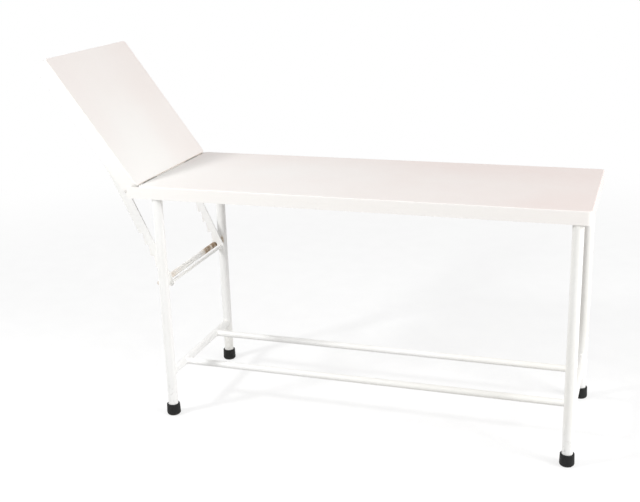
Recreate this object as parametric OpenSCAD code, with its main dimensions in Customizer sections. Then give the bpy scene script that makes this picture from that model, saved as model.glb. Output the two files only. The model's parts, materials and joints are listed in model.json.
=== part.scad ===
// Examination table: a sheet steel top in two sections on a welded tube frame.
// The back section tilts on two hinges and is propped by a pair of notched arms
// that hook over a crossbar between the head-end legs.
// Millimetres. +Z is up, +X runs to the foot end, +Y to the rear side.
// The origin is on the floor, at the middle of the table with its back raised.

/* [Overall] */
// Length of the table with both sections flat
table_l = 1830; // [1600:10:2000]
// Width of both sections
table_w = 500; // [440:5:640]
// Height of the seat's top above the floor
table_h = 770; // [700:5:880]
// Length of the back section
back_l = 471; // [420:1:560]
// Angle of the back section above level, arms in their last notch
back_angle = 54; // [50:1:58]

/* [Trays] */
// Thickness of the sheet steel
sheet_t = 1.2; // [1:0.1:1.6]
// Depth of the seat's apron
apron_h = 40; // [38:1:60]
// Depth of the back section's apron
back_apron_h = 50; // [48:1:60]
// Outer radius of the rolled top edge
edge_r = 3; // [2.5:0.5:4]
// Radius of the upright corners
corner_r = 12; // [8:1:18]
// Height of the hem folded back inside the apron
hem_h = 9; // [6:1:12]
// Length of the seat's side aprons past the fold, as cheeks beside the back section
cheek_l = 40; // [30:1:60]
// Radius of a cheek's free corners
cheek_r = 9; // [5:1:14]
// Clearance between the back section and each cheek
cheek_gap = 0.5; // [0.3:0.1:1]

/* [Legs] */
// Outer diameter of a leg
leg_d = 32; // [30:1:38]
// Wall of a leg
leg_wall = 1.6; // [1.2:0.1:3]
// Head-end edge of the seat to the axis of the head legs
head_leg_in = 53; // [45:1:70]
// Foot-end edge of the seat to the axis of the foot legs
foot_leg_in = 36; // [30:1:60]
// Clearance between a leg and the hem of the apron
leg_gap = 0.6; // [0.4:0.1:2]

/* [Rubber shoes] */
// Thickness of rubber round the leg at the tread
shoe_wall = 6; // [5:0.5:9]
// Thickness of rubber round the leg at the rim
shoe_rim_wall = 5; // [3:0.5:5]
// Height of a shoe
shoe_h = 38; // [30:1:50]
// Thickness of rubber under the leg
shoe_floor = 6; // [4:0.5:10]
// Radius of the tread's edge
shoe_toe_r = 8; // [4:0.5:9]
// Radius of the rim
shoe_rim_r = 2; // [1:0.25:2.5]
// Radial clearance between leg and shoe
shoe_fit = 0.05; // [0.02:0.01:0.1]

/* [Lower rails] */
// Height of the lower rails' centre lines
rail_z = 144; // [110:1:220]
// Outer diameter of an end rail
end_rail_d = 25; // [22:1:30]
// Outer diameter of a long rail
long_rail_d = 22; // [16:1:24]
// Wall of the rails
rail_wall = 1.5; // [1:0.1:2.5]
// Axis of a leg to the axis of the long rail beside it
long_rail_in = 107; // [60:1:140]

/* [Upper frame] */
// Side of the square tubes under the sections
bearer_s = 20; // [16:1:22]
// Wall of the square tubes
bearer_wall = 1.5; // [1:0.1:2]
// Outer corner radius of the square tubes
bearer_r = 2.5; // [2.25:0.25:4]
// Width of a channel stiffener
channel_w = 40; // [30:1:50]
// Height of a channel stiffener
channel_h = 18; // [14:1:19]
// Thickness of a channel stiffener
channel_t = 1.5; // [1:0.1:2]
// Stiffeners under the seat
seat_channels = 3; // [2:1:5]
// Stiffeners under the back section
back_channels = 2; // [2:1:2]

/* [Crossbar] */
// Diameter of the round bar that the arms hook over
bar_d = 19; // [16:1:22]
// Height of the crossbar's axis
bar_z = 448; // [420:1:480]
// Axis of the head legs to the axis of the crossbar, towards the head
bar_out = 19; // [12:1:20]
// How far the crossbar's cut ends stop short of the legs' axes
bar_end_in = 11; // [6:1:11]

/* [Ratchet arms] */
// Width of the flat bar
arm_w = 34; // [28:1:38]
// Thickness of the flat bar
arm_t = 5; // [4:0.5:8]
// Clearance between an arm and the leg beside it
arm_leg_gap = 15; // [3:0.5:24]
// Notches in each arm
notch_count = 5; // [3:1:6]
// Spacing of the notches along the arm
notch_pitch = 40; // [32:1:44]
// Depth of a notch
notch_depth = 12; // [10:0.5:14]
// Clearance between the crossbar and the notch it sits in
notch_gap = 0.3; // [0.2:0.05:1]
// Hinge edge of the back section to the arms' pivot, along the back
pivot_up = 255; // [230:1:280]
// Depth of the pivot below the back section's face
pivot_drop = 36; // [32:1:40]
// Diameter of the rod that ties the two arms together
tie_d = 10; // [8:1:14]
// Last notch to the tie rod's axis, along the arm
tie_drop = 19; // [14:1:24]

/* [Pivot fittings] */
// Diameter of the pivot stud
stud_d = 10; // [8:1:12]
// Radial clearance between a stud and what turns on it
pivot_fit = 0.05; // [0.02:0.01:0.1]
// Clearance on each side of an arm at its pivot
pivot_gap = 0.3; // [0.2:0.05:1]
// Thickness of the pivot bracket
bracket_t = 5; // [4:0.5:6]
// Width of the pivot bracket
bracket_w = 28; // [24:1:30]
// Outer diameter of the spacer bush
bush_d = 18; // [16:1:20]
// Outer diameter of the washer
washer_d = 21; // [18:1:24]
// Thickness of the washer
washer_t = 2; // [1:0.5:3]
// Width of the lock nut across its flats
nut_af = 17; // [13:1:19]
// Height of the lock nut
nut_h = 9; // [6:0.5:12]

/* [Hinges] */
// Length of one hinge
hinge_l = 75; // [50:1:100]
// Middle of the table to the middle of a hinge
hinge_y = 150; // [100:5:170]
// Depth of the hinge axis below the top
hinge_drop = 6; // [5.5:0.5:8]
// Outer diameter of a knuckle
knuckle_d = 9; // [8:0.5:12]
// Clearance between a knuckle and each section's apron
knuckle_side_gap = 0.5; // [0.3:0.1:1]
// Diameter of the hinge pin
pin_d = 5; // [4:0.5:5.5]
// Thickness of a leaf
leaf_t = 2; // [1.5:0.25:2.5]
// Height of a leaf
leaf_h = 24; // [20:1:30]
// Clearance between knuckles, and between a knuckle and the other leaf
knuckle_gap = 0.3; // [0.2:0.05:0.6]
// Diameter of the pin's peened head
pin_head_d = 7; // [6:0.5:8]
// Thickness of the pin's peened head
pin_head_t = 1.5; // [1:0.25:2]
// Rivets in one leaf
rivet_count = 3; // [2:1:4]
// Diameter of a rivet's shank
rivet_d = 4; // [3:0.5:5]
// Diameter of a rivet's head
rivet_head_d = 7; // [6:0.5:8]
// Height of a rivet's domed head
rivet_head_h = 1.5; // [1:0.25:2]
// Depth of the rivets below the hinge axis
rivet_drop = 9; // [8.5:0.5:11]
// Radial clearance of a rivet in its hole
rivet_fit = 0.05; // [0.02:0.01:0.1]

/* [Hidden] */
$fn = 64;

// How far a cut runs past the face it opens
overrun = 1;
// Hexagon's corner circle over its width across flats
hex_corner_share = 1 / cos(30);
// Length of a stud past its nut
stud_end = 3;
// Length of the tie rod past each arm
tie_end = 2;

powder_white = "#f2f1ee";
tray_cream = "#f1ebe6";
rubber_black = "#1c1c1e";
zinc_grey = "#b9bcc0";

// The two sections stand apart by the width of the hinges' knuckles
tray_gap = knuckle_d + 2 * knuckle_side_gap;
seat_l = table_l - back_l - tray_gap;
foot_reach = tray_gap / 2 + seat_l;
head_reach = (tray_gap / 2 + back_l) * cos(back_angle) + (back_apron_h - hinge_drop) * sin(back_angle);

// The middle of the box around the raised table comes to the origin
hinge_x = (head_reach - foot_reach) / 2;
hinge_z = table_h - hinge_drop;
seat_head_x = hinge_x + tray_gap / 2;
seat_foot_x = seat_head_x + seat_l;
back_hinge_x = hinge_x - tray_gap / 2;
back_head_x = back_hinge_x - back_l;

// Legs and frame
head_leg_x = seat_head_x + head_leg_in;
foot_leg_x = seat_foot_x - foot_leg_in;
leg_y = table_w / 2 - 2 * sheet_t - leg_gap - leg_d / 2;
leg_h = table_h - sheet_t - shoe_floor;
shoe_bore_r = leg_d / 2 + shoe_fit;
shoe_r = shoe_bore_r + shoe_wall;
shoe_rim_outer_r = shoe_bore_r + shoe_rim_wall;
long_rail_y = leg_y - long_rail_in;
frame_top_z = table_h - sheet_t;
bearer_span = table_w - 2 * corner_r;
back_w = table_w - 2 * (sheet_t + cheek_gap);
back_tube_y = back_w / 2 - sheet_t - bearer_s / 2;
hinge_tube_in = sheet_t + bearer_s / 2;

// Pivot of the arms: laid out with the back flat, then turned up with it
pivot_flat_x = -tray_gap / 2 - pivot_up;
pivot_flat_z = hinge_drop - pivot_drop;
pivot_x = hinge_x + pivot_flat_x * cos(back_angle) + pivot_flat_z * sin(back_angle);
pivot_z = hinge_z - pivot_flat_x * sin(back_angle) + pivot_flat_z * cos(back_angle);

// The last notch's inner corner lies over the crossbar's inner top quarter
bar_x = head_leg_x - bar_out;
corner_x = bar_x + bar_d / 2 + notch_gap;
corner_z = bar_z + bar_d / 2 + notch_gap;
notch_x = -arm_w / 2 + notch_depth;
arm_reach = sqrt(pow(corner_x - pivot_x, 2) + pow(corner_z - pivot_z, 2) - pow(notch_x, 2));
arm_lean = atan2(corner_x - pivot_x, pivot_z - corner_z) - atan2(notch_x, arm_reach);
notch_rise = notch_depth * tan(arm_lean);
tail_r = (arm_w - notch_depth) / 2;
tie_x = arm_w / 2 - tail_r;
tie_z = -arm_reach - tie_drop;
arm_y = leg_y - leg_d / 2 - arm_leg_gap - arm_t / 2;

// Pivot fittings, measured outwards from the middle of the table
bracket_y = back_tube_y - bearer_s / 2 - bracket_t;
bush_y = arm_y + arm_t / 2 + pivot_gap;
washer_y = arm_y - arm_t / 2 - pivot_gap - washer_t;
nut_y = washer_y - nut_h;
knuckle_l = (hinge_l - 2 * knuckle_gap) / 3;
rivet_grip = leaf_t + sheet_t + bearer_wall;
rivet_dome_r = (pow(rivet_head_d / 2, 2) + pow(rivet_head_h, 2)) / (2 * rivet_head_h);

// Shared shapes

// Turns what is drawn with the back section flat up to the raised angle
module raised() {
    translate([hinge_x, 0, hinge_z])
        rotate([0, back_angle, 0])
            translate([-hinge_x, 0, -hinge_z])
                children();
}

// A rod or hole along Y, starting at the origin
module along_y(d, l) {
    rotate([-90, 0, 0]) cylinder(h = l, d = d);
}

// A rod or hole along X, starting at the origin
module along_x(d, l) {
    rotate([0, 90, 0]) cylinder(h = l, d = d);
}

// The solid round of a leg, which the tubes that meet it are cut to
module leg_core(x, side) {
    translate([x, side * leg_y, shoe_floor]) cylinder(h = leg_h, d = leg_d);
}

// A square with rounded corners, centred on the origin
module rounded_square(side, r) {
    flat = side - 2 * r;
    square([side, flat], center = true);
    square([flat, side], center = true);
    for (x = [-flat / 2, flat / 2], y = [-flat / 2, flat / 2])
        translate([x, y]) circle(r);
}

// A length of square tube standing on the origin
module square_tube(l) {
    difference() {
        linear_extrude(l) rounded_square(bearer_s, bearer_r);
        translate([0, 0, -overrun])
            linear_extrude(l + 2 * overrun)
                rounded_square(bearer_s - 2 * bearer_wall, bearer_r - bearer_wall);
    }
}

// A square tube along Y, centred on x and y, its top at z
module square_tube_y(x, span, z) {
    translate([x, -span / 2, z - bearer_s / 2]) rotate([-90, 0, 0]) square_tube(span);
}

// A square tube along X from x1 to x2, centred on y, its top at z
module square_tube_x(x1, x2, y, z) {
    translate([x1, y, z - bearer_s / 2]) rotate([0, 90, 0]) square_tube(x2 - x1);
}

// A channel along Y, open downwards, its web against the sheet at z
module channel_y(x, span, z) {
    translate([x - channel_w / 2, -span / 2, z - channel_h])
        difference() {
            cube([channel_w, span, channel_h]);
            translate([channel_t, -overrun, -overrun])
                cube([channel_w - 2 * channel_t, span + 2 * overrun, channel_h - channel_t + overrun]);
        }
}

// Half section of a tray's side: top sheet, rolled edge, apron and hem
module wall_section(h) {
    translate([0, -sheet_t]) square([corner_r - edge_r, sheet_t]);
    translate([corner_r - edge_r, -edge_r])
        intersection() {
            difference() {
                circle(edge_r);
                circle(edge_r - sheet_t);
            }
            square(edge_r);
        }
    translate([corner_r - sheet_t, -h]) square([sheet_t, h - edge_r]);
    translate([corner_r - 2 * sheet_t, -h]) square([sheet_t, hem_h]);
}

// A straight side of a tray, running along X with its outside towards +Y
module tray_side(run, h) {
    rotate([90, 0, 90]) linear_extrude(run) wall_section(h);
}

// A tray from x1 to x2 of width w, its top face at z: pressed top, apron and round corners
module tray(x1, x2, w, z, h) {
    half_l = (x2 - x1) / 2 - corner_r;
    half_w = w / 2 - corner_r;
    translate([(x1 + x2) / 2, 0, z]) {
        translate([-half_l, -half_w, -sheet_t]) cube([2 * half_l, 2 * half_w, sheet_t]);
        for (turn = [0, 180])
            rotate([0, 0, turn]) {
                translate([-half_l, half_w, 0]) tray_side(2 * half_l, h);
                translate([half_l, half_w, 0]) rotate([0, 0, -90]) tray_side(2 * half_w, h);
                translate([half_l, half_w, 0]) rotate_extrude(angle = 90) wall_section(h);
                translate([-half_l, half_w, 0]) rotate([0, 0, 90])
                    rotate_extrude(angle = 90) wall_section(h);
            }
    }
}

// Legs and rubber shoes

module leg(x, side) {
    color(powder_white)
        translate([x, side * leg_y, shoe_floor])
            difference() {
                cylinder(h = leg_h, d = leg_d);
                translate([0, 0, -overrun])
                    cylinder(h = leg_h + 2 * overrun, d = leg_d - 2 * leg_wall);
            }
}

module shoe_section() {
    polygon([
        [0, 0],
        [shoe_r - shoe_toe_r, 0],
        [shoe_r - shoe_toe_r, shoe_toe_r],
        [shoe_r, shoe_toe_r],
        [shoe_rim_outer_r, shoe_h - shoe_rim_r],
        [shoe_rim_outer_r - shoe_rim_r, shoe_h - shoe_rim_r],
        [shoe_rim_outer_r - shoe_rim_r, shoe_h],
        [0, shoe_h],
    ]);
    translate([shoe_r - shoe_toe_r, shoe_toe_r])
        intersection() {
            circle(shoe_toe_r);
            translate([0, -shoe_toe_r]) square(shoe_toe_r);
        }
    translate([shoe_rim_outer_r - shoe_rim_r, shoe_h - shoe_rim_r])
        intersection() {
            circle(shoe_rim_r);
            square(shoe_rim_r);
        }
}

module shoe(x, side) {
    color(rubber_black)
        translate([x, side * leg_y, 0])
            difference() {
                rotate_extrude() shoe_section();
                translate([0, 0, shoe_floor]) cylinder(h = shoe_h, r = shoe_bore_r);
            }
}

// Lower rails: an end rail joins each pair of legs, two long rails join the end rails

module end_rail(x) {
    color(powder_white)
        difference() {
            translate([x, -leg_y, rail_z]) along_y(end_rail_d, 2 * leg_y);
            translate([x, -leg_y - overrun, rail_z])
                along_y(end_rail_d - 2 * rail_wall, 2 * leg_y + 2 * overrun);
            for (side = [-1, 1]) leg_core(x, side);
        }
}

module long_rail(side) {
    run = foot_leg_x - head_leg_x;
    color(powder_white)
        difference() {
            translate([head_leg_x, side * long_rail_y, rail_z]) along_x(long_rail_d, run);
            translate([head_leg_x - overrun, side * long_rail_y, rail_z])
                along_x(long_rail_d - 2 * rail_wall, run + 2 * overrun);
            for (x = [head_leg_x, foot_leg_x])
                translate([x, -leg_y, rail_z]) along_y(end_rail_d, 2 * leg_y);
        }
}

// The crossbar is a solid bar, let into the head side of the head-end legs and welded
module ratchet_crossbar() {
    half = leg_y - bar_end_in;
    color(powder_white)
        difference() {
            translate([bar_x, -half, bar_z]) along_y(bar_d, 2 * half);
            for (side = [-1, 1]) leg_core(head_leg_x, side);
        }
}

// Seat: tray, side rails between the legs, bearers, hinge tube and stiffeners

// A side apron of the seat runs on past the fold and closes the end of the gap
module cheek(side) {
    h = apron_h - edge_r;
    translate([seat_head_x - cheek_l, side * (table_w - sheet_t) / 2 + sheet_t / 2, table_h - apron_h])
        rotate([90, 0, 0])
            linear_extrude(sheet_t) {
                translate([cheek_r, 0]) square([cheek_l - cheek_r + corner_r, h]);
                translate([0, cheek_r]) square([cheek_r, h - 2 * cheek_r]);
                for (z = [cheek_r, h - cheek_r]) translate([cheek_r, z]) circle(cheek_r);
            }
}

module seat_tray() {
    color(tray_cream)
        difference() {
            union() {
                tray(seat_head_x, seat_foot_x, table_w, table_h, apron_h);
                for (side = [-1, 1]) cheek(side);
            }
            rivet_holes(seat_head_x - leaf_t, 1);
        }
}

module seat_rail(side) {
    color(powder_white)
        difference() {
            square_tube_x(head_leg_x, foot_leg_x, side * leg_y, frame_top_z);
            for (x = [head_leg_x, foot_leg_x]) leg_core(x, side);
        }
}

module bearer(x) {
    color(powder_white)
        difference() {
            square_tube_y(x, 2 * leg_y, frame_top_z);
            for (side = [-1, 1]) leg_core(x, side);
        }
}

module seat_hinge_tube() {
    color(powder_white)
        difference() {
            square_tube_y(seat_head_x + hinge_tube_in, bearer_span, frame_top_z);
            rivet_holes(seat_head_x - leaf_t, 1);
        }
}

module seat_stiffeners() {
    step = (foot_leg_x - head_leg_x) / (seat_channels + 1);
    color(powder_white)
        for (i = [1:seat_channels])
            channel_y(head_leg_x + i * step, 2 * leg_y - bearer_s, frame_top_z);
}

// Hinges: the seat's leaf has the two outer knuckles, the back's has the middle one

module knuckle(y) {
    translate([hinge_x, y - knuckle_l / 2, hinge_z]) along_y(knuckle_d, knuckle_l);
}

module knuckle_room(y) {
    translate([hinge_x - tray_gap / 2, y - knuckle_l / 2 - knuckle_gap, hinge_z - knuckle_d / 2 - knuckle_gap])
        cube([tray_gap, knuckle_l + 2 * knuckle_gap, knuckle_d + 2 * knuckle_gap]);
}

module leaf(x, y) {
    translate([x, y - hinge_l / 2, hinge_z - leaf_h]) cube([leaf_t, hinge_l, leaf_h]);
}

module pin_hole(y) {
    translate([hinge_x, y - hinge_l / 2 - overrun, hinge_z])
        along_y(pin_d + 2 * pivot_fit, hinge_l + 2 * overrun);
}

module seat_hinge_leaves() {
    step = knuckle_l + knuckle_gap;
    color(zinc_grey)
        for (y = [-hinge_y, hinge_y])
            difference() {
                union() {
                    difference() {
                        leaf(seat_head_x - leaf_t, y);
                        knuckle_room(y);
                    }
                    knuckle(y - step);
                    knuckle(y + step);
                }
                pin_hole(y);
                rivet_holes(seat_head_x - leaf_t, 1);
            }
}

module back_hinge_leaves() {
    step = knuckle_l + knuckle_gap;
    color(zinc_grey)
        raised()
            for (y = [-hinge_y, hinge_y])
                difference() {
                    union() {
                        difference() {
                            leaf(back_hinge_x, y);
                            knuckle_room(y - step);
                            knuckle_room(y + step);
                        }
                        knuckle(y);
                    }
                    pin_hole(y);
                    rivet_holes(back_hinge_x + leaf_t, -1);
                }
}

// Rivets through a leaf, the apron and the tube behind it. They start at the leaf's
// open face at x, and way is 1 where they run towards +X and -1 where towards -X

module each_rivet(x, way) {
    step = hinge_l / rivet_count;
    for (y = [-hinge_y, hinge_y], i = [0:rivet_count - 1])
        translate([x, y - hinge_l / 2 + (i + 1 / 2) * step, hinge_z - rivet_drop])
            rotate([0, way * 90, 0])
                children();
}

module rivet_holes(x, way) {
    each_rivet(x, way)
        translate([0, 0, -overrun])
            cylinder(h = rivet_grip + 2 * overrun, d = rivet_d + 2 * rivet_fit);
}

module rivets(x, way) {
    each_rivet(x, way) {
        cylinder(h = rivet_grip + rivet_head_h, d = rivet_d);
        rivet_head();
        translate([0, 0, rivet_grip]) cylinder(h = rivet_head_h, d = rivet_head_d);
    }
}

// A shallow dome under the leaf's face
module rivet_head() {
    rotate_extrude()
        intersection() {
            translate([0, rivet_dome_r - rivet_head_h]) circle(rivet_dome_r);
            translate([0, -rivet_head_h]) square([rivet_head_d, rivet_head_h]);
        }
}

module seat_hinge_rivets() {
    color(zinc_grey) rivets(seat_head_x - leaf_t, 1);
}

module back_hinge_rivets() {
    color(zinc_grey) raised() rivets(back_hinge_x + leaf_t, -1);
}

module hinge_pins() {
    color(zinc_grey)
        for (y = [-hinge_y, hinge_y]) {
            translate([hinge_x, y - hinge_l / 2, hinge_z]) along_y(pin_d, hinge_l);
            for (end = [-hinge_l / 2 - pin_head_t, hinge_l / 2])
                translate([hinge_x, y + end, hinge_z]) along_y(pin_head_d, pin_head_t);
        }
}

// Back section: tray, a ring of square tubes and two stiffeners

module back_tray() {
    color(tray_cream)
        raised()
            difference() {
                tray(back_head_x, back_hinge_x, back_w, table_h, back_apron_h);
                rivet_holes(back_hinge_x + leaf_t, -1);
            }
}

module back_side_tube(side) {
    color(powder_white)
        raised()
            square_tube_x(back_head_x + corner_r, back_hinge_x - corner_r, side * back_tube_y, frame_top_z);
}

module back_end_tube(x) {
    color(powder_white)
        raised()
            difference() {
                square_tube_y(x, 2 * back_tube_y - bearer_s, frame_top_z);
                rivet_holes(back_hinge_x + leaf_t, -1);
            }
}

module back_stiffeners() {
    step = back_l / (back_channels + 1);
    color(powder_white)
        raised()
            for (i = [1:back_channels])
                channel_y(back_hinge_x - i * step, 2 * back_tube_y - bearer_s, frame_top_z);
}

// Arm pivots: bracket on the side tube, stud, spacer bush, washer and lock nut

// Carries what is drawn round the pivot axis at y = 0 out to the given y on one side
module at_pivot(side) {
    mirror([0, side < 0 ? 1 : 0, 0]) translate([pivot_x, 0, pivot_z]) children();
}

module pivot_brackets() {
    color(powder_white)
        for (side = [-1, 1])
            at_pivot(side)
                rotate([0, back_angle, 0])
                    difference() {
                        union() {
                            translate([0, bracket_y, 0]) along_y(bracket_w, bracket_t);
                            translate([-bracket_w / 2, bracket_y, 0])
                                cube([bracket_w, bracket_t, pivot_drop - sheet_t]);
                        }
                        translate([0, bracket_y - overrun, 0])
                            along_y(stud_d + 2 * pivot_fit, bracket_t + 2 * overrun);
                    }
}

module pivot_studs() {
    color(zinc_grey)
        for (side = [-1, 1])
            at_pivot(side)
                translate([0, nut_y - stud_end, 0])
                    along_y(stud_d, bracket_y + bracket_t - nut_y + stud_end);
}

module pivot_ring(d, y, l) {
    for (side = [-1, 1])
        at_pivot(side)
            difference() {
                translate([0, y, 0]) along_y(d, l);
                translate([0, y - overrun, 0]) along_y(stud_d + 2 * pivot_fit, l + 2 * overrun);
            }
}

module pivot_bushes() {
    color(zinc_grey) pivot_ring(bush_d, bush_y, bracket_y - bush_y);
}

module pivot_washers() {
    color(zinc_grey) pivot_ring(washer_d, washer_y, washer_t);
}

module pivot_nuts() {
    color(zinc_grey)
        for (side = [-1, 1])
            at_pivot(side)
                difference() {
                    translate([0, nut_y, 0])
                        rotate([-90, 0, 0]) cylinder(h = nut_h, d = nut_af * hex_corner_share, $fn = 6);
                    translate([0, nut_y - overrun, 0])
                        along_y(stud_d + 2 * pivot_fit, nut_h + 2 * overrun);
                }
}

// Ratchet arms: drawn hanging from the pivot at the origin, then leaned on the crossbar

// Height of a notch's inner corner, counted from the pivot end
function notch_z(i) = -arm_reach + (notch_count - 1 - i) * notch_pitch;

module arm_outline() {
    teeth = [
        for (i = [0:notch_count - 1])
            for (p = [[-arm_w / 2, notch_z(i) + notch_rise], [notch_x, notch_z(i)]]) p
    ];
    polygon(concat(
        [[-arm_w / 2, 0]],
        teeth,
        [[notch_x, tie_z], [arm_w / 2, tie_z], [arm_w / 2, 0]]
    ));
    circle(d = arm_w);
    translate([tie_x, tie_z]) circle(tail_r);
}

module leaned() {
    translate([pivot_x, 0, pivot_z]) rotate([0, -arm_lean, 0]) children();
}

module ratchet_arm(side) {
    color(powder_white)
        leaned()
            difference() {
                translate([0, side * arm_y + arm_t / 2, 0])
                    rotate([90, 0, 0]) linear_extrude(arm_t) arm_outline();
                translate([0, side * arm_y - arm_t, 0]) along_y(stud_d + 2 * pivot_fit, 2 * arm_t);
                translate([tie_x, side * arm_y - arm_t, tie_z]) along_y(tie_d + 2 * pivot_fit, 2 * arm_t);
            }
}

module tie_rod() {
    half = arm_y + arm_t / 2 + tie_end;
    color(powder_white)
        leaned()
            translate([tie_x, -half, tie_z]) along_y(tie_d, 2 * half);
}

leg(head_leg_x, -1);  // head_front_leg
leg(head_leg_x, 1);  // head_rear_leg
leg(foot_leg_x, -1);  // foot_front_leg
leg(foot_leg_x, 1);  // foot_rear_leg
shoe(head_leg_x, -1);  // head_front_shoe
shoe(head_leg_x, 1);  // head_rear_shoe
shoe(foot_leg_x, -1);  // foot_front_shoe
shoe(foot_leg_x, 1);  // foot_rear_shoe
end_rail(head_leg_x);  // head_end_rail
end_rail(foot_leg_x);  // foot_end_rail
long_rail(-1);  // front_long_rail
long_rail(1);  // rear_long_rail
ratchet_crossbar();
seat_tray();
seat_rail(-1);  // front_seat_rail
seat_rail(1);  // rear_seat_rail
bearer(head_leg_x);  // head_bearer
bearer(foot_leg_x);  // foot_bearer
seat_hinge_tube();
seat_stiffeners();
seat_hinge_leaves();
seat_hinge_rivets();
hinge_pins();
back_hinge_leaves();
back_hinge_rivets();
back_tray();
back_side_tube(-1);  // back_front_tube
back_side_tube(1);  // back_rear_tube
back_end_tube(back_head_x + hinge_tube_in);  // back_head_tube
back_end_tube(back_hinge_x - hinge_tube_in);  // back_hinge_tube
back_stiffeners();
pivot_brackets();
pivot_studs();
pivot_bushes();
pivot_washers();
pivot_nuts();
ratchet_arm(-1);  // front_ratchet_arm
ratchet_arm(1);  // rear_ratchet_arm
tie_rod();
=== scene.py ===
"""Examination table: finishes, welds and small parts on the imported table, in metres."""
import json
import math

import bpy
from mathutils import Matrix, Vector


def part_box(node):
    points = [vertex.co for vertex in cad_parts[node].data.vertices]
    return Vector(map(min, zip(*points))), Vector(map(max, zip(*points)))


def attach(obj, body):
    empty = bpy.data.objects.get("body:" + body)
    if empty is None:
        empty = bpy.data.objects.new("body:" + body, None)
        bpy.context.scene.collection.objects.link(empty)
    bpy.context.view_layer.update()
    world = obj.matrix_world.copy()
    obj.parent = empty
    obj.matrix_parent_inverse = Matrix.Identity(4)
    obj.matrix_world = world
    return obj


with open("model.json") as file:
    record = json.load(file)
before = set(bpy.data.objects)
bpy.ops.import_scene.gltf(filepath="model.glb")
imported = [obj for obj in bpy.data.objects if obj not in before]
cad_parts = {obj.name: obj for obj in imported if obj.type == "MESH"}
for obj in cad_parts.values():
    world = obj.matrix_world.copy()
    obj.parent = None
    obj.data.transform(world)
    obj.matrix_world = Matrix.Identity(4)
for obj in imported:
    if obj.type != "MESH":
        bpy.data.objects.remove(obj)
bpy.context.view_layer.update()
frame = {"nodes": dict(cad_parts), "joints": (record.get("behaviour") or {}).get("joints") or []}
nodes = frame["nodes"]


# ---------------------------------------------------------------- legs and welded tubes
# Four legs of 32 mm steel tube, four rails low down and the square tubes under the seat.
# The frame is welded first, then sprayed with white polyester powder and baked.

def paint(hex_colour):
    """Linear colour of an sRGB hex value."""
    parts = [int(hex_colour[i:i + 2], 16) / 255 for i in (1, 3, 5)]
    return [c / 12.92 if c <= 0.04045 else ((c + 0.055) / 1.055) ** 2.4 for c in parts] + [1]


def add(tree, kind, feeds=None, out=0, **settings):
    """Adds a node with its settings and links, and gives the one of its outputs that out names."""
    made = tree.nodes.new(kind)
    for name, value in settings.items():
        setattr(made, name, value)
    for socket, value in (feeds or {}).items():
        if isinstance(value, bpy.types.NodeSocket):
            tree.links.new(value, made.inputs[socket])
        else:
            made.inputs[socket].default_value = value
    return made.outputs[out] if made.outputs else made


def patches(tree, place, size_mm, low, high, detail=2.0, rough=0.5, least=0.0, most=1.0):
    """Soft-edged irregular patches about size_mm across: least outside them, most inside."""
    cloud = add(tree, "ShaderNodeTexNoise", {
        "Vector": place, "Scale": 1000 / size_mm, "Detail": detail, "Roughness": rough})
    return add(tree, "ShaderNodeMapRange", {
        "Value": cloud, "From Min": low, "From Max": high, "To Min": least, "To Max": most,
    }, interpolation_type="SMOOTHSTEP")


def dress(tree, colour, gloss, height, depth, strength):
    """Links a finish's colour, roughness and relief, depth metres deep, to its shader."""
    shader = tree.nodes["Principled BSDF"]
    skin = add(tree, "ShaderNodeBump", {
        "Height": height, "Strength": strength, "Distance": depth}, out="Normal")
    for socket, value in (("Base Color", colour), ("Roughness", gloss), ("Normal", skin)):
        tree.links.new(value, shader.inputs[socket])
    return shader


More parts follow.
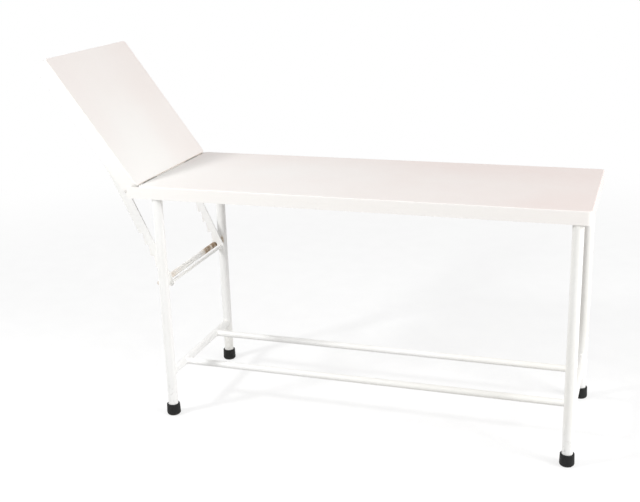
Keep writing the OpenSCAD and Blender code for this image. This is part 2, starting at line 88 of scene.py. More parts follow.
def powder_coat(name, fresh, aged_and_shaded, rough, soil_and_shade=None, wiped_and_shaded=None):
    """White or cream polyester powder, sprayed on steel and baked at about 200 degrees.

    The eye sees a semi-gloss coat that is almost even, fine ripples in its highlights
    (orange peel), a few specks, and grey rubs near the floor where shoes and mops reach.
    The soiling function gives the share of rusty soiling where the coat is worn or dirty,
    and where the same browns are painted shade.
    The last argument, for a top that is lain on and cleaned, mixes patches of age with
    painted shade towards the top's ends and rear, and such a top has hair scratches too.
    """
    made = bpy.data.materials.new(name)
    made.use_nodes = True
    tree = made.node_tree
    place = add(tree, "ShaderNodeTexCoord", out="Object")
    ageing_and_shade = patches(tree, place, 420, 0.35, 0.7, detail=1.5)
    if wiped_and_shaded:
        # On a top, painted shade darkens and pinks the cream towards its ends and rear
        ageing_and_shade = wiped_and_shaded(tree, place, ageing_and_shade)
    colour = add(tree, "ShaderNodeMix", {0: ageing_and_shade, 6: paint(fresh), 7: paint(aged_and_shaded)}, out=2,
                 data_type="RGBA")

    # Grey rubs reach about 160 mm up the legs, in patches of 11 mm, and specks are 3 mm wide
    rubs_full, rubs_end = 0.03, 0.16
    height = add(tree, "ShaderNodeSeparateXYZ", {0: place}, out="Z")
    reach = add(tree, "ShaderNodeMapRange", {
        "Value": height, "From Min": rubs_full, "From Max": rubs_end, "To Min": 0.34,
        "To Max": 0.0,
    }, interpolation_type="SMOOTHSTEP")
    rubs = patches(tree, place, 11, 0.53, 0.72, detail=5, rough=0.62)
    rubs = add(tree, "ShaderNodeMath", {0: rubs, 1: reach}, operation="MULTIPLY")
    specks = patches(tree, place, 3.2, 0.735, 0.78, detail=1, rough=0.4, most=0.13)
    dirt = add(tree, "ShaderNodeMath", {0: rubs, 1: specks}, operation="MAXIMUM")
    colour = add(tree, "ShaderNodeMix", {0: dirt, 6: colour, 7: paint("#8b857c")}, out=2,
                 data_type="RGBA")

    gloss = patches(tree, place, 60, 0.3, 0.7, detail=4, rough=0.6, least=rough - 0.05,
                    most=rough + 0.06)
    if wiped_and_shaded:
        # Hair scratches along the table are 0.1 mm wide, drawn 1.5 mm wide so that they show
        drawn_out = add(tree, "ShaderNodeMapping", {"Vector": place, "Scale": (4, 160, 160)})
        hairs = patches(tree, drawn_out, 250, 0.62, 0.74, detail=3, most=0.08)
        gloss = add(tree, "ShaderNodeMath", {0: gloss, 1: hairs}, operation="ADD")
    if soil_and_shade:
        # A tan stain spreads round the rust, and the rust itself is mottled every 2 mm. The same
        # tan and browns also serve as painted shade at the fold, on the crossbar and on a leg.
        share = soil_and_shade(tree, place)
        stain_and_shade_share = add(tree, "ShaderNodeMapRange", {
            "Value": share, "From Min": 0.02, "From Max": 0.55, "To Max": 0.8,
        }, interpolation_type="SMOOTHSTEP")
        rust_and_shade_share = add(tree, "ShaderNodeMapRange", {
            "Value": share, "From Min": 0.3, "From Max": 0.8, "To Max": 0.9,
        }, interpolation_type="SMOOTHSTEP")
        mottle = patches(tree, place, 2.2, 0.35, 0.65, detail=3, rough=0.6)
        rust_and_shade_brown = add(tree, "ShaderNodeMix", {0: mottle, 6: paint("#75583e"), 7: paint("#957a59")},
                   out=2, data_type="RGBA")
        colour = add(tree, "ShaderNodeMix", {0: stain_and_shade_share, 6: colour, 7: paint("#cbb69b")}, out=2,
                     data_type="RGBA")
        colour = add(tree, "ShaderNodeMix", {0: rust_and_shade_share, 6: colour, 7: rust_and_shade_brown}, out=2,
                     data_type="RGBA")
        gloss = add(tree, "ShaderNodeMix", {0: rust_and_shade_share, 2: gloss, 3: 0.72})
    # Real orange peel is 2 to 3 mm wide, drawn 5 mm wide so that it shows at this size
    peel = patches(tree, place, 5, 0.0, 1.0, detail=1.5, rough=0.45)
    shader = dress(tree, colour, gloss, peel, depth=0.0004, strength=0.3)
    shader.inputs["IOR"].default_value = 1.5
    return made


def finish(material, *names):
    """Gives each named node its one material."""
    for name in names:
        slots = nodes[name].data.materials
        slots.clear()
        slots.append(material)


WHITE, WHITE_AGED = "#fbfbfa", "#f7f6f2"
SEMI_GLOSS, SATIN = 0.36, 0.4
white_coat = powder_coat("white_polyester_powder_coat", WHITE, WHITE_AGED, SEMI_GLOSS)
LEGS = ("head_front_leg", "head_rear_leg", "foot_front_leg", "foot_rear_leg")
finish(white_coat, *LEGS, "head_end_rail", "foot_end_rail", "front_long_rail", "rear_long_rail",
       "front_seat_rail", "rear_seat_rail", "head_bearer", "foot_bearer", "seat_hinge_tube",
       "seat_stiffeners")


def middle(name):
    """Middle of a node's box, and half its size."""
    low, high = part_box(name)
    return (low + high) / 2, (high - low) / 2


foot_rear, leg_half = middle("foot_rear_leg")
foot_x, leg_y, leg_r = foot_rear.x, foot_rear.y, leg_half.x
head_x = middle("head_rear_leg")[0].x


# ---------------------------------------------------------------- welds of the frame
# Each tube is MIG welded where it meets the next one, and the bead is coated with the
# frame. A bead is about 5 mm wide, with a ripple each 2 mm where the pool froze.

bead_nodes = bpy.data.node_groups.new("bead_along_a_line", "GeometryNodeTree")
bead_nodes.is_modifier = True
for name, kind in (("Seam", "Geometry"), ("Bead width", "Float"), ("Ripple pitch", "Float"),
                   ("Ripple depth", "Float"), ("Seed", "Float"), ("Coat", "Material")):
    bead_nodes.interface.new_socket(name, in_out="INPUT", socket_type="NodeSocket" + kind)
bead_nodes.interface.new_socket("Bead", in_out="OUTPUT", socket_type="NodeSocketGeometry")
given = add(bead_nodes, "NodeGroupInput").node.outputs
STEPS_PER_RIPPLE = 4.0
spacing = add(bead_nodes, "ShaderNodeMath", {0: given["Ripple pitch"], 1: STEPS_PER_RIPPLE},
              operation="DIVIDE")
line = add(bead_nodes, "GeometryNodeMeshToCurve", {"Mesh": given["Seam"]})
line = add(bead_nodes, "GeometryNodeResampleCurve", {"Curve": line, "Length": spacing},
           mode="LENGTH")
along = add(bead_nodes, "GeometryNodeSplineParameter", out="Length")
turns = add(bead_nodes, "ShaderNodeMath", {0: along, 1: given["Ripple pitch"]},
            operation="DIVIDE")
angle = add(bead_nodes, "ShaderNodeMath", {0: turns, 1: math.tau}, operation="MULTIPLY")
wave = add(bead_nodes, "ShaderNodeMath", {0: angle}, operation="SINE")
ripple = add(bead_nodes, "ShaderNodeMath", {0: wave, 1: given["Ripple depth"]},
             operation="MULTIPLY")
# The hand wanders: the width changes by a quarter each way over about 5 mm
hand = add(bead_nodes, "ShaderNodeTexNoise", {"W": given["Seed"], "Scale": 220.0, "Detail": 1.0},
           noise_dimensions="4D")
hand = add(bead_nodes, "ShaderNodeMapRange", {"Value": hand, "To Min": 0.75, "To Max": 1.25})
uneven = add(bead_nodes, "ShaderNodeMath", {0: given["Ripple depth"], 1: 0.0},
             operation="GREATER_THAN")
hand = add(bead_nodes, "ShaderNodeMix", {0: uneven, 2: 1.0, 3: hand})
swell = add(bead_nodes, "ShaderNodeMath", {0: hand, 1: ripple}, operation="ADD")
half_width = add(bead_nodes, "ShaderNodeMath", {0: given["Bead width"], 1: 2.0},
                 operation="DIVIDE")
radius = add(bead_nodes, "ShaderNodeMath", {0: half_width, 1: swell}, operation="MULTIPLY")
ring = add(bead_nodes, "GeometryNodeCurvePrimitiveCircle", {"Resolution": 8, "Radius": 1.0})
bead = add(bead_nodes, "GeometryNodeCurveToMesh", {
    "Curve": line, "Profile Curve": ring, "Scale": radius, "Fill Caps": True})
bead = add(bead_nodes, "GeometryNodeSetShadeSmooth", {"Geometry": bead})
bead = add(bead_nodes, "GeometryNodeRealizeInstances", {"Geometry": bead})
bead = add(bead_nodes, "GeometryNodeSetMaterial", {"Geometry": bead, "Material": given["Coat"]})
add(bead_nodes, "NodeGroupOutput", {"Bead": bead})


def lay_beads(name, seams, body, coat, width, pitch=0.0022, depth=0.1, seed=1.0):
    """One plain mesh of beads along seams, each a (points, closed) pair, riding on a body."""
    points, edges = [], []
    for seam, closed in seams:
        first = len(points)
        points += [tuple(p) for p in seam]
        edges += [(i, i + 1) for i in range(first, len(points) - 1)]
        if closed:
            edges.append((len(points) - 1, first))
    mesh = bpy.data.meshes.new(name + "_seam")
    mesh.from_pydata(points, edges, [])
    holder = bpy.data.objects.new(name + "_seam", mesh)
    bpy.context.scene.collection.objects.link(holder)
    modifier = holder.modifiers.new("beads", "NODES")
    modifier.node_group = bead_nodes
    wanted = {"Bead width": width, "Ripple pitch": pitch, "Ripple depth": depth, "Seed": seed,
              "Coat": coat}
    for item in bead_nodes.interface.items_tree:
        if item.in_out == "INPUT" and item.name in wanted:
            modifier[item.identifier] = wanted[item.name]
    bpy.context.view_layer.update()
    seen = holder.evaluated_get(bpy.context.evaluated_depsgraph_get())
    result = bpy.data.meshes.new_from_object(seen)
    result.name = name
    bpy.data.objects.remove(holder)
    piece = bpy.data.objects.new(name, result)
    bpy.context.scene.collection.objects.link(piece)
    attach(piece, body)
    return piece


def arc(count, start=0.0, end=math.tau):
    """Angles from start to end. A whole turn leaves out its last angle, which is its first."""
    gaps = count if end - start == math.tau else count - 1
    return [start + (end - start) * i / gaps for i in range(count)]


FRAME_BEAD, SEAT_BEAD, SMALL_BEAD = 0.0048, 0.0042, 0.0036
RING_POINTS = 40
end_rail, end_rail_half = middle("head_end_rail")
long_rail, long_rail_half = middle("rear_long_rail")
rail_z, end_rail_r, long_rail_r = end_rail.z, end_rail_half.z, long_rail_half.z
rail_seams = []
for leg_x, inward in ((head_x, 1), (foot_x, -1)):
    for side in (-1, 1):
        rail_seams.append(([
            (leg_x + end_rail_r * math.cos(t),
             side * (leg_y - math.sqrt(leg_r ** 2 - (end_rail_r * math.cos(t)) ** 2)),
             rail_z + end_rail_r * math.sin(t)) for t in arc(RING_POINTS)], True))
        rail_seams.append(([
            (leg_x + inward * math.sqrt(end_rail_r ** 2 - (long_rail_r * math.sin(t)) ** 2),
             side * long_rail.y + long_rail_r * math.cos(t),
             rail_z + long_rail_r * math.sin(t)) for t in arc(RING_POINTS)], True))
lay_beads("rail_welds", rail_seams, "frame", white_coat, FRAME_BEAD)

# The square tubes under the seat are welded to the legs on their three open sides
SQUARE, SQUARE_CORNER = 0.020, 0.0025
square_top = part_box("front_seat_rail")[1].z
square_low = square_top - SQUARE
SIDE_STEPS = 8
end_outline = [(-SQUARE / 2, square_top), (-SQUARE / 2, square_low + SQUARE_CORNER),
               (-SQUARE / 2 + SQUARE_CORNER, square_low), (SQUARE / 2 - SQUARE_CORNER, square_low),
               (SQUARE / 2, square_low + SQUARE_CORNER), (SQUARE / 2, square_top)]
open_sides = [(a + (b - a) * k / SIDE_STEPS, za + (zb - za) * k / SIDE_STEPS)
              for (a, za), (b, zb) in zip(end_outline, end_outline[1:])
              for k in range(SIDE_STEPS)]
open_sides.append(end_outline[-1])
seat_seams = []
for side in (-1, 1):
    for leg_x, inward in ((head_x, 1), (foot_x, -1)):
        reach = [math.sqrt(leg_r ** 2 - across ** 2) for across, _ in open_sides]
        seat_seams.append(([(leg_x + inward * r, side * leg_y + across, z)
                            for (across, z), r in zip(open_sides, reach)], False))
        seat_seams.append(([(leg_x + across, side * (leg_y - r), z)
                            for (across, z), r in zip(open_sides, reach)], False))
lay_beads("seat_frame_welds", seat_seams, "frame", white_coat, SEAT_BEAD,
          seed=3.0)


# ---------------------------------------------------------------- rubber shoes
# Each leg stands in a black rubber shoe, pressed in a two-part mould and pushed on. Its
# parting line stands out as a thin rib on two sides, turned as the shoe happened to go on.

# Compression-moulded black rubber: the eye sees a matt, slightly bloomed black with a fine
# grain, and grey dust and floor polish on its tread and where shoes have scuffed it.
black_rubber = bpy.data.materials.new("moulded_black_rubber")
black_rubber.use_nodes = True
tree = black_rubber.node_tree
place = add(tree, "ShaderNodeTexCoord", out="Object")
bloom = patches(tree, place, 14, 0.35, 0.7, detail=3)
colour = add(tree, "ShaderNodeMix", {0: bloom, 6: paint("#0a0b0b"), 7: paint("#111212")}, out=2,
             data_type="RGBA")
scuffs = patches(tree, place, 5, 0.5, 0.7, detail=4, rough=0.65, most=0.08)
height = add(tree, "ShaderNodeSeparateXYZ", {0: place}, out="Z")
TREAD_DUSTY, TREAD_CLEAN = 0.0005, 0.009
tread = add(tree, "ShaderNodeMapRange", {
    "Value": height, "From Min": TREAD_DUSTY, "From Max": TREAD_CLEAN, "To Min": 0.16,
    "To Max": 0.0,
}, interpolation_type="SMOOTHSTEP")
dust = add(tree, "ShaderNodeMath", {0: scuffs, 1: tread}, operation="ADD")
colour = add(tree, "ShaderNodeMix", {0: dust, 6: colour, 7: paint("#777067")}, out=2,
             data_type="RGBA")
gloss = add(tree, "ShaderNodeMapRange", {"Value": bloom, "To Min": 0.55, "To Max": 0.72})
grain = patches(tree, place, 0.9, 0.0, 1.0, detail=1)
dress(tree, colour, gloss, grain, depth=0.0003, strength=0.5)
tree.nodes["Principled BSDF"].inputs["IOR"].default_value = 1.52
tree.nodes["Principled BSDF"].inputs["Specular IOR Level"].default_value = 0.3

RIB = 0.0012  # a real parting line is 0.3 mm wide, drawn wider so that it shows
RIB_START, RIB_SHARE, RIB_STEPS = 0.04, 0.9, 24
SHOE_TURNS = (20, 75, 130, 50)
rib_seams = []
for leg, shoe_turn in zip(LEGS, SHOE_TURNS):
    shoe = leg.replace("leg", "shoe")
    finish(black_rubber, shoe)
    centre, half = middle(shoe)
    heights = [2 * half.z * (RIB_START + RIB_SHARE * k / RIB_STEPS)
               for k in range(RIB_STEPS + 1)]
    for side in (0, math.pi):
        out = Vector((math.cos(math.radians(shoe_turn) + side),
                      math.sin(math.radians(shoe_turn) + side), 0))
        rib = []
        for z in heights:
            start = Vector((centre.x, centre.y, z)) + out * 2 * half.x
            hit, spot, _, _ = nodes[shoe].ray_cast(start, -out)
            if hit:
                rib.append(spot)
        rib_seams.append((rib, False))
lay_beads("shoe_parting_lines", rib_seams, "frame", black_rubber, RIB, depth=0.0)


# ---------------------------------------------------------------- ratchet crossbar
# A solid 19 mm bar, let into the head side of the two head-end legs and welded there. The
# arms hook over it, and years of lifting and dropping them have worn its coat to rust.

bar, bar_half = middle("ratchet_crossbar")
bar_r = bar_half.x
arm, arm_half = middle("rear_ratchet_arm")
arm_t = 2 * arm_half.y
RUST_AND_SHADOW_STARTS, RUST_AND_SHADOW_FULL = 0.16, 0.05  # inwards of the arm


def bar_rust_and_shadow(tree, place):
    """Rust on the bar under each arm and in patches beside it; the extra brown at the rear is
    painted shadow of the rear arm on the bar.
    """
    xyz = add(tree, "ShaderNodeSeparateXYZ", {0: place}).node.outputs
    half_y = add(tree, "ShaderNodeMath", {0: xyz["Y"]}, operation="ABSOLUTE")
    band = add(tree, "ShaderNodeMapRange", {
        "Value": half_y, "From Min": arm.y - RUST_AND_SHADOW_STARTS, "From Max": arm.y - RUST_AND_SHADOW_FULL,
        "To Max": 0.85,
    }, interpolation_type="SMOOTHSTEP")
    # Painted shadow: the rear end of the bar is browner than the front end
    shadow_at_rear = add(tree, "ShaderNodeMapRange", {
        "Value": xyz["Y"], "From Min": -0.1, "From Max": 0.1, "To Min": 0.45})
    band = add(tree, "ShaderNodeMath", {0: band, 1: shadow_at_rear}, operation="MULTIPLY")
    ragged = patches(tree, place, 15, 0.2, 0.75, detail=3, rough=0.5, least=0.35)
    return add(tree, "ShaderNodeMath", {0: band, 1: ragged}, operation="MULTIPLY")


rusty_and_shaded_coat = powder_coat("white_powder_coat_rusted_and_shaded_under_the_arms", WHITE, WHITE_AGED, SEMI_GLOSS,
                         soil_and_shade=bar_rust_and_shadow)
finish(rusty_and_shaded_coat, "ratchet_crossbar")


def leg_rub_and_arm_shadow(tree, place):
    """A short rusty rub just above the bar, on the side of the leg that the arm brushes, which
    is also painted shadow of the arm on the leg.
    """
    reach = Vector((0.008, 0.012, 0.022))
    aside, above = 0.005, 0.014
    spot = Vector((head_x + aside, leg_y - leg_r, bar.z + above))
    place = add(tree, "ShaderNodeVectorMath", {0: place, 1: spot}, operation="SUBTRACT")
    away = add(tree, "ShaderNodeVectorMath", {0: place, 1: reach}, operation="DIVIDE")
    away = add(tree, "ShaderNodeVectorMath", {0: away}, out="Value", operation="LENGTH")
    near = add(tree, "ShaderNodeMapRange", {
        "Value": away, "From Min": 0.35, "From Max": 1.1, "To Min": 0.62, "To Max": 0.0,
    }, interpolation_type="SMOOTHSTEP")
    ragged = patches(tree, place, 8, 0.2, 0.75, detail=3, rough=0.5, least=0.5)
    return add(tree, "ShaderNodeMath", {0: near, 1: ragged}, operation="MULTIPLY")


rubbed_and_shaded_coat = powder_coat("white_powder_coat_rubbed_and_shaded_by_the_arm", WHITE, WHITE_AGED, SEMI_GLOSS,
                          soil_and_shade=leg_rub_and_arm_shadow)
finish(rubbed_and_shaded_coat, "head_rear_leg")

bar_seams = []
CUT_POINTS = 24
bar_in = bar.x - head_x
cut_x = -math.sqrt(leg_r ** 2 - (leg_y - bar_half.y) ** 2)
cut_turn = math.acos((cut_x - bar_in) / bar_r)
for side in (-1, 1):
    seam = []
    for t in arc(CUT_POINTS, -cut_turn, cut_turn):
        x = bar_in + bar_r * math.cos(t)
        seam.append((head_x + x, side * (leg_y - math.sqrt(leg_r ** 2 - x ** 2)),
                     bar.z + bar_r * math.sin(t)))
    bar_seams.append((seam, True))
lay_beads("crossbar_welds", bar_seams, "frame", white_coat, FRAME_BEAD, seed=5.0)


# ---------------------------------------------------------------- seat tray
# The long section is one sheet of 1.2 mm steel, pressed down all round to an apron with a
# folded hem. Two cheeks stand beside the fold, and the sheet is coated in a warm cream.

SHEET = 0.0012
table_top = square_top + SHEET
hinge = next(j for j in frame["joints"] if j["name"] == "backrest_tilt")
hinge_at = Vector(hinge["pos_m"])
raise_by = math.radians(hinge["range_deg"][1])
raised = (Matrix.Translation(hinge_at) @ Matrix.Rotation(raise_by, 4, "Y")
          @ Matrix.Translation(-hinge_at))
# The second cream is both the tone of age and the painted shade on the tops
CREAM, CREAM_AGED_AND_SHADED = "#fbf9f6", "#f4e7e2"


def aged_and_shaded_top(tree, place, ageing_and_shade):
    """Makes the top pinker than the aprons, in patches of age and in painted shade that
    deepens towards the ends and the rear.
    """
    from_fold = add(tree, "ShaderNodeVectorMath", {0: place, 1: hinge_at}, operation="SUBTRACT")
    from_fold = add(tree, "ShaderNodeVectorMath", {0: from_fold, 1: (1, 0, 1)},
                    operation="MULTIPLY")
    from_fold = add(tree, "ShaderNodeVectorMath", {0: from_fold}, out="Value",
                    operation="LENGTH")
    # Painted shade: the top turns darker and pinker from 0.2 m to 1.3 m from the fold, and towards
    # the rear
    shade_starts, shade_full = 0.2, 1.3
    shade_to_ends = add(tree, "ShaderNodeMapRange", {
        "Value": from_fold, "From Min": shade_starts, "From Max": shade_full, "To Max": 0.8})
    shade_to_rear = add(tree, "ShaderNodeSeparateXYZ", {0: place}, out="Y")
    shade_to_rear = add(tree, "ShaderNodeMapRange", {
        "Value": shade_to_rear, "From Min": 0.0, "From Max": 0.25, "To Max": 0.45})
    ageing_and_shade = add(tree, "ShaderNodeMath", {0: ageing_and_shade, 1: 0.3, 2: shade_to_ends},
                 operation="MULTIPLY_ADD")
    ageing_and_shade = add(tree, "ShaderNodeMath", {0: ageing_and_shade, 1: shade_to_rear}, operation="ADD",
                 use_clamp=True)
    normal = add(tree, "ShaderNodeNewGeometry", out="Normal")
    sideways = add(tree, "ShaderNodeSeparateXYZ", {0: normal}, out="Y")
    sideways = add(tree, "ShaderNodeMath", {0: sideways}, operation="ABSOLUTE")
    on_top = add(tree, "ShaderNodeMapRange", {
        "Value": sideways, "From Min": 0.3, "From Max": 0.7, "To Min": 1.0, "To Max": 0.15})
    return add(tree, "ShaderNodeMath", {0: ageing_and_shade, 1: on_top}, operation="MULTIPLY")


def fold_grime_and_shade(tree, place, turned):
    """Brown grime and painted shade along the fold, on the rolled edge that faces the other
    section: the brown also stands for the shade that falls in the gap between the sections.

    It stops short of the two cheeks, which hands and cloths keep clean.
    """
    if turned:
        place = add(tree, "ShaderNodeVectorRotate", {
            "Vector": place, "Center": hinge_at, "Axis": (0, 1, 0), "Angle": -raise_by})
    xyz = add(tree, "ShaderNodeSeparateXYZ", {0: place}).node.outputs
    away = add(tree, "ShaderNodeMath", {0: xyz["X"], 1: hinge_at.x}, operation="SUBTRACT")
    away = add(tree, "ShaderNodeMath", {0: away}, operation="ABSOLUTE")
    edge_starts, edge_ends = 0.0052, 0.009
    near = add(tree, "ShaderNodeMapRange", {
        "Value": away, "From Min": edge_starts, "From Max": edge_ends, "To Min": 0.4,
        "To Max": 0.0,
    }, interpolation_type="SMOOTHSTEP")
    deepest, shallowest = 0.012, 0.003
    upper = add(tree, "ShaderNodeMapRange", {
        "Value": xyz["Z"], "From Min": table_top - deepest, "From Max": table_top - shallowest,
    }, interpolation_type="SMOOTHSTEP")
    half_y = add(tree, "ShaderNodeMath", {0: xyz["Y"]}, operation="ABSOLUTE")
    full_within, clean_past = 0.225, 0.238
    inside = add(tree, "ShaderNodeMapRange", {
        "Value": half_y, "From Min": full_within, "From Max": clean_past, "To Min": 1.0,
        "To Max": 0.0,
    }, interpolation_type="SMOOTHSTEP")
    ragged = patches(tree, place, 16, 0.2, 0.75, detail=3, rough=0.5, least=0.45)
    near = add(tree, "ShaderNodeMath", {0: near, 1: upper}, operation="MULTIPLY")
    near = add(tree, "ShaderNodeMath", {0: near, 1: inside}, operation="MULTIPLY")
    return add(tree, "ShaderNodeMath", {0: near, 1: ragged}, operation="MULTIPLY")


seat_coat = powder_coat("cream_polyester_powder_coat_of_the_seat", CREAM, CREAM_AGED_AND_SHADED, SATIN,
                        soil_and_shade=lambda tree, place: fold_grime_and_shade(tree, place, False), wiped_and_shaded=aged_and_shaded_top)
finish(seat_coat, "seat_tray")


# ---------------------------------------------------------------- hinges
# Two butt hinges of pressed steel, zinc plated before they are riveted through the aprons
# into the square tubes. Grease and dust have darkened the knuckles and the rivet heads.

# Electroplated zinc, blue passivated: the eye sees a bright grey metal, a little uneven
zinc = bpy.data.materials.new("bright_zinc_plate")
zinc.use_nodes = True
tree = zinc.node_tree
place = add(tree, "ShaderNodeTexCoord", out="Object")
cast = patches(tree, place, 9, 0.3, 0.7, detail=3)
colour = add(tree, "ShaderNodeMix", {0: cast, 6: paint("#c9ccd1"), 7: paint("#b3b5b4")}, out=2,
             data_type="RGBA")
grease = patches(tree, place, 3.5, 0.56, 0.72, detail=4, rough=0.65, most=0.45)
colour = add(tree, "ShaderNodeMix", {0: grease, 6: colour, 7: paint("#6b655c")}, out=2,
             data_type="RGBA")
gloss = patches(tree, place, 2.5, 0.3, 0.7, detail=3, least=0.24, most=0.42)
dimples = patches(tree, place, 1.5, 0.0, 1.0)
dress(tree, colour, gloss, dimples, depth=0.0002, strength=0.25)
tree.nodes["Principled BSDF"].inputs["Metallic"].default_value = 1.0
finish(zinc, "seat_hinge_leaves", "seat_hinge_rivets", "hinge_pins", "back_hinge_leaves",
       "back_hinge_rivets")


# ---------------------------------------------------------------- back section
# The short section is a second cream tray over a ring of 20 mm square tube with two
# channels across it. A white bracket for each arm is welded to the inside of a side tube.

back_coat = powder_coat("cream_polyester_powder_coat_of_the_back", CREAM, CREAM_AGED_AND_SHADED, SATIN,
                        soil_and_shade=lambda tree, place: fold_grime_and_shade(tree, place, True), wiped_and_shaded=aged_and_shaded_top)
finish(back_coat, "back_tray")
finish(white_coat, "back_front_tube", "back_rear_tube", "back_head_tube", "back_hinge_tube",
       "back_stiffeners", "pivot_brackets")

swing = next(j for j in frame["joints"] if j["name"] == "ratchet_arms_swing")
pivot_at = Vector(swing["pos_m"])
flat_pivot = raised.inverted() @ pivot_at
BRACKET_W, BRACKET_STEPS = 0.028, 9
tube_face_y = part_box("back_rear_tube")[0].y
bracket_seams = []
for side in (-1, 1):
    for edge in (-BRACKET_W / 2, BRACKET_W / 2):
        bracket_seams.append(([
            raised @ Vector((flat_pivot.x + edge, side * tube_face_y, square_low + z / 1000))
            for z in range(1, 20, 2)], False))
    bracket_seams.append(([
        raised @ Vector((flat_pivot.x + BRACKET_W * (k / BRACKET_STEPS - 0.5),
                         side * tube_face_y, square_low))
        for k in range(BRACKET_STEPS + 1)], False))
lay_beads("bracket_welds", bracket_seams, "backrest", white_coat, SMALL_BEAD,
          seed=7.0)


# ---------------------------------------------------------------- pivots of the arms
# Each arm swings on a zinc plated 10 mm stud, between a bush and a washer, under a lock
# nut. The end of the stud stands 3 mm out of the nut and shows its M10 thread.

finish(zinc, "pivot_studs", "pivot_bushes", "pivot_washers", "pivot_nuts")
THREAD_PITCH, THREAD_RIB, THREAD_POINTS, STUD_R = 0.0015, 0.0009, 60, 0.005
stud_tip = min(abs(v.co.y) for v in nodes["pivot_studs"].data.vertices)
nut_face = min(abs(v.co.y) for v in nodes["pivot_nuts"].data.vertices)
thread_turns = (nut_face - stud_tip - THREAD_RIB) / THREAD_PITCH
thread_seams = []
for side in (-1, 1):
    thread_seams.append(([
        (pivot_at.x + STUD_R * math.cos(t), side * (stud_tip + THREAD_RIB / 2
                                                    + THREAD_PITCH * t / math.tau),
         pivot_at.z + STUD_R * math.sin(t))
        for t in arc(THREAD_POINTS, 0.0, thread_turns * math.tau)], False))
lay_beads("stud_threads", thread_seams, "backrest", zinc, THREAD_RIB, depth=0.0)


# ---------------------------------------------------------------- ratchet arms and tie rod
# Two flat steel bars with five sheared notches each, powder coated, and a round rod
# welded between their ends so that they drop together. The notches have worn to rust.

arm_w, tail_r = 0.034, 0.011
NOTCH_D, NOTCH_PITCH, NOTCHES, NOTCH_GAP = 0.012, 0.040, 5, 0.0003
notch_x = -arm_w / 2 + NOTCH_D
span = Vector((bar.x + bar_r + NOTCH_GAP - pivot_at.x, 0, bar.z + bar_r + NOTCH_GAP - pivot_at.z))
arm_reach = math.sqrt(span.x ** 2 + span.z ** 2 - notch_x ** 2)
arm_lean = math.atan2(span.x, -span.z) - math.atan2(notch_x, arm_reach)


def notch_rust(tree, place):
    """Rust on the sheared edges of the notches, and a little on the faces beside them."""
    hung = add(tree, "ShaderNodeVectorRotate", {
        "Vector": place, "Center": pivot_at, "Axis": (0, 1, 0), "Angle": arm_lean})
    xyz = add(tree, "ShaderNodeSeparateXYZ", {0: hung}).node.outputs
    across = add(tree, "ShaderNodeMath", {0: xyz["X"], 1: pivot_at.x}, operation="SUBTRACT")
    along = add(tree, "ShaderNodeMath", {0: xyz["Z"], 1: pivot_at.z}, operation="SUBTRACT")
    toothed = add(tree, "ShaderNodeMapRange", {
        "Value": across, "From Min": notch_x - 0.001, "From Max": notch_x + 0.003,
        "To Min": 1.0, "To Max": 0.0}, interpolation_type="SMOOTHSTEP")
    top_notch = -arm_reach + NOTCHES * NOTCH_PITCH
    below = add(tree, "ShaderNodeMapRange", {
        "Value": along, "From Min": top_notch - 0.012, "From Max": top_notch + 0.002,
        "To Min": 1.0, "To Max": 0.0}, interpolation_type="SMOOTHSTEP")
    normal = add(tree, "ShaderNodeNewGeometry", out="Normal")
    facing = add(tree, "ShaderNodeSeparateXYZ", {0: normal}, out="Y")
    facing = add(tree, "ShaderNodeMath", {0: facing}, operation="ABSOLUTE")
    edge = add(tree, "ShaderNodeMapRange", {
        "Value": facing, "From Min": 0.3, "From Max": 0.6, "To Min": 0.62, "To Max": 0.13,
    }, interpolation_type="SMOOTHSTEP")
    ragged = patches(tree, place, 7, 0.2, 0.8, detail=3, rough=0.55, least=0.4, most=1.1)
    share = add(tree, "ShaderNodeMath", {0: toothed, 1: below}, operation="MULTIPLY")
    share = add(tree, "ShaderNodeMath", {0: share, 1: edge}, operation="MULTIPLY")
    return add(tree, "ShaderNodeMath", {0: share, 1: ragged}, operation="MULTIPLY")


arm_coat = powder_coat("white_powder_coat_rusted_at_the_notches", WHITE, WHITE_AGED, SEMI_GLOSS,
                       soil_and_shade=notch_rust)
finish(arm_coat, "front_ratchet_arm", "rear_ratchet_arm")
finish(white_coat, "tie_rod")

TIE_R, TIE_DROP, TIE_POINTS = 0.005, 0.019, 24
hung_tie = Vector((arm_w / 2 - tail_r, 0, -arm_reach - TIE_DROP))
tie = Vector((pivot_at.x, 0, pivot_at.z)) + Matrix.Rotation(-arm_lean, 3, "Y") @ hung_tie
tie_seams = [([(tie.x + TIE_R * math.cos(t), side * (arm.y - arm_t / 2),
                tie.z + TIE_R * math.sin(t)) for t in arc(TIE_POINTS)], True)
             for side in (-1, 1)]
lay_beads("tie_rod_welds", tie_seams, "ratchet_arms", white_coat, SMALL_BEAD,
          seed=9.0)


# ---------------------------------------------------------------- floor, lamps and camera
# A plain white studio floor that keeps a soft shadow, a small key lamp above the head end
# on the near side, a large fill lamp past the foot end, pale studio walls, and the camera.

def seen_straight(tree):
    """1 for what the camera sees directly, in a gloss or through glass, and 0 for the rest."""
    path = add(tree, "ShaderNodeLightPath").node.outputs
    mirrored = add(tree, "ShaderNodeMath", {
        0: path["Is Glossy Ray"], 1: path["Is Transmission Ray"]}, operation="MAXIMUM")
    return add(tree, "ShaderNodeMath", {0: path["Is Camera Ray"], 1: mirrored},
               operation="MAXIMUM")


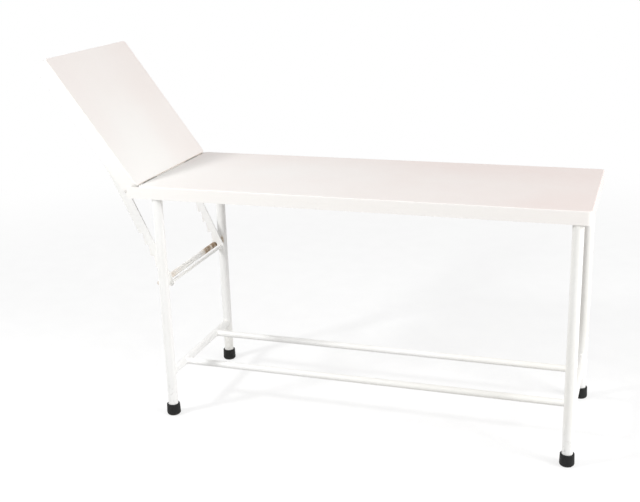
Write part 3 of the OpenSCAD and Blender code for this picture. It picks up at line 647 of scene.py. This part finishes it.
# Matt white floor paint, which is seen as plain white where no shadow falls on it
floor_paint = bpy.data.materials.new("matt_white_floor_paint")
floor_paint.use_nodes = True
tree = floor_paint.node_tree
tree.nodes.clear()
place = add(tree, "ShaderNodeTexCoord", out="Object")
matt = add(tree, "ShaderNodeBsdfDiffuse", {"Color": paint("#cfcecc")})
mottle = patches(tree, place, 90, 0.3, 0.7, detail=3, least=0.33, most=0.35)
shaded = add(tree, "ShaderNodeBsdfDiffuse", {"Color": mottle})
glow = add(tree, "ShaderNodeEmission", {"Color": (1, 1, 1, 1), "Strength": 0.7})
lifted = add(tree, "ShaderNodeAddShader", {0: shaded, 1: glow})
away = add(tree, "ShaderNodeVectorMath", {0: place}, out="Value", operation="LENGTH")
SHADOW_FADES, SHADOW_GONE = 1.6, 3.6
far = add(tree, "ShaderNodeMapRange", {"Value": away, "From Min": SHADOW_FADES,
                                       "From Max": SHADOW_GONE}, interpolation_type="SMOOTHSTEP")
white = add(tree, "ShaderNodeEmission", {"Color": (1, 1, 1, 1), "Strength": 1.0})
lifted = add(tree, "ShaderNodeMixShader", {0: far, 1: lifted, 2: white})
both = add(tree, "ShaderNodeMixShader", {0: seen_straight(tree), 1: matt, 2: lifted})
add(tree, "ShaderNodeOutputMaterial", {"Surface": both})

FLOOR_HALF = 8.0
mesh = bpy.data.meshes.new("floor")
mesh.from_pydata([(x * FLOOR_HALF, y * FLOOR_HALF, 0) for x, y in
                  ((-1, -1), (1, -1), (1, 1), (-1, 1))], [], [(0, 1, 2, 3)])
mesh.materials.append(floor_paint)
floor = bpy.data.objects.new("floor", mesh)
bpy.context.scene.collection.objects.link(floor)

# The walls of the studio light the table more than its ceiling does
WALLS, CEILING = 0.70, 0.34
world = bpy.data.worlds.new("studio")
bpy.context.scene.world = world
world.use_nodes = True
tree = world.node_tree
tree.nodes.clear()
ray = add(tree, "ShaderNodeTexCoord", out="Generated")
upward = add(tree, "ShaderNodeSeparateXYZ", {0: ray}, out="Z")
soft = add(tree, "ShaderNodeMapRange", {"Value": upward, "To Min": WALLS, "To Max": CEILING})
level = add(tree, "ShaderNodeMix", {0: seen_straight(tree), 2: soft, 3: 1.0})
backdrop = add(tree, "ShaderNodeBackground", {"Color": (1, 1, 1, 1), "Strength": level})
add(tree, "ShaderNodeOutputWorld", {"Surface": backdrop})


def lamp(name, at, aim, size, level):
    """A square area lamp. level is how bright it makes a white card that faces it at its aim."""
    light = bpy.data.lights.new(name, "AREA")
    away = Vector(at) - Vector(aim)
    light.shape, light.size = "SQUARE", size
    light.energy = level * math.pi ** 2 * away.length_squared
    made = bpy.data.objects.new(name, light)
    bpy.context.scene.collection.objects.link(made)
    made.location = at
    made.rotation_mode = "QUATERNION"
    made.rotation_quaternion = away.to_track_quat("Z", "Y")
    made.visible_camera = False


lamp("key", (-2.14, -1.82, 2.48), (-0.3, 0, 0.77), 0.4, 0.59)
lamp("fill", (4.2, -1.2, 2.2), (-0.66, 0, 0.96), 1.6, 0.48)

# The camera was solved from the table's own edges in the photograph
camera = bpy.data.objects.new("camera", bpy.data.cameras.new("camera"))
camera.data.lens = 57.2306
camera.data.sensor_width = 36.0
bpy.context.scene.collection.objects.link(camera)
# It is turned from +Y towards -X, tipped down, and rolled a little
turn, down, roll = (math.radians(a) for a in (18.91219, 17.77798, -1.76935))
ahead = Vector((-math.sin(turn) * math.cos(down), math.cos(turn) * math.cos(down),
                -math.sin(down)))
level_right = Vector((math.cos(turn), math.sin(turn), 0))
level_up = level_right.cross(ahead)
right = math.cos(roll) * level_right + math.sin(roll) * level_up
up = math.cos(roll) * level_up - math.sin(roll) * level_right
STANDS_AT = (0.98810, -2.93384, 1.51445)
camera.matrix_world = (Matrix.Translation(STANDS_AT)
                       @ Matrix((right, up, -ahead)).transposed().to_4x4())
bpy.context.scene.camera = camera
bpy.context.scene.view_settings.view_transform = "Standard"
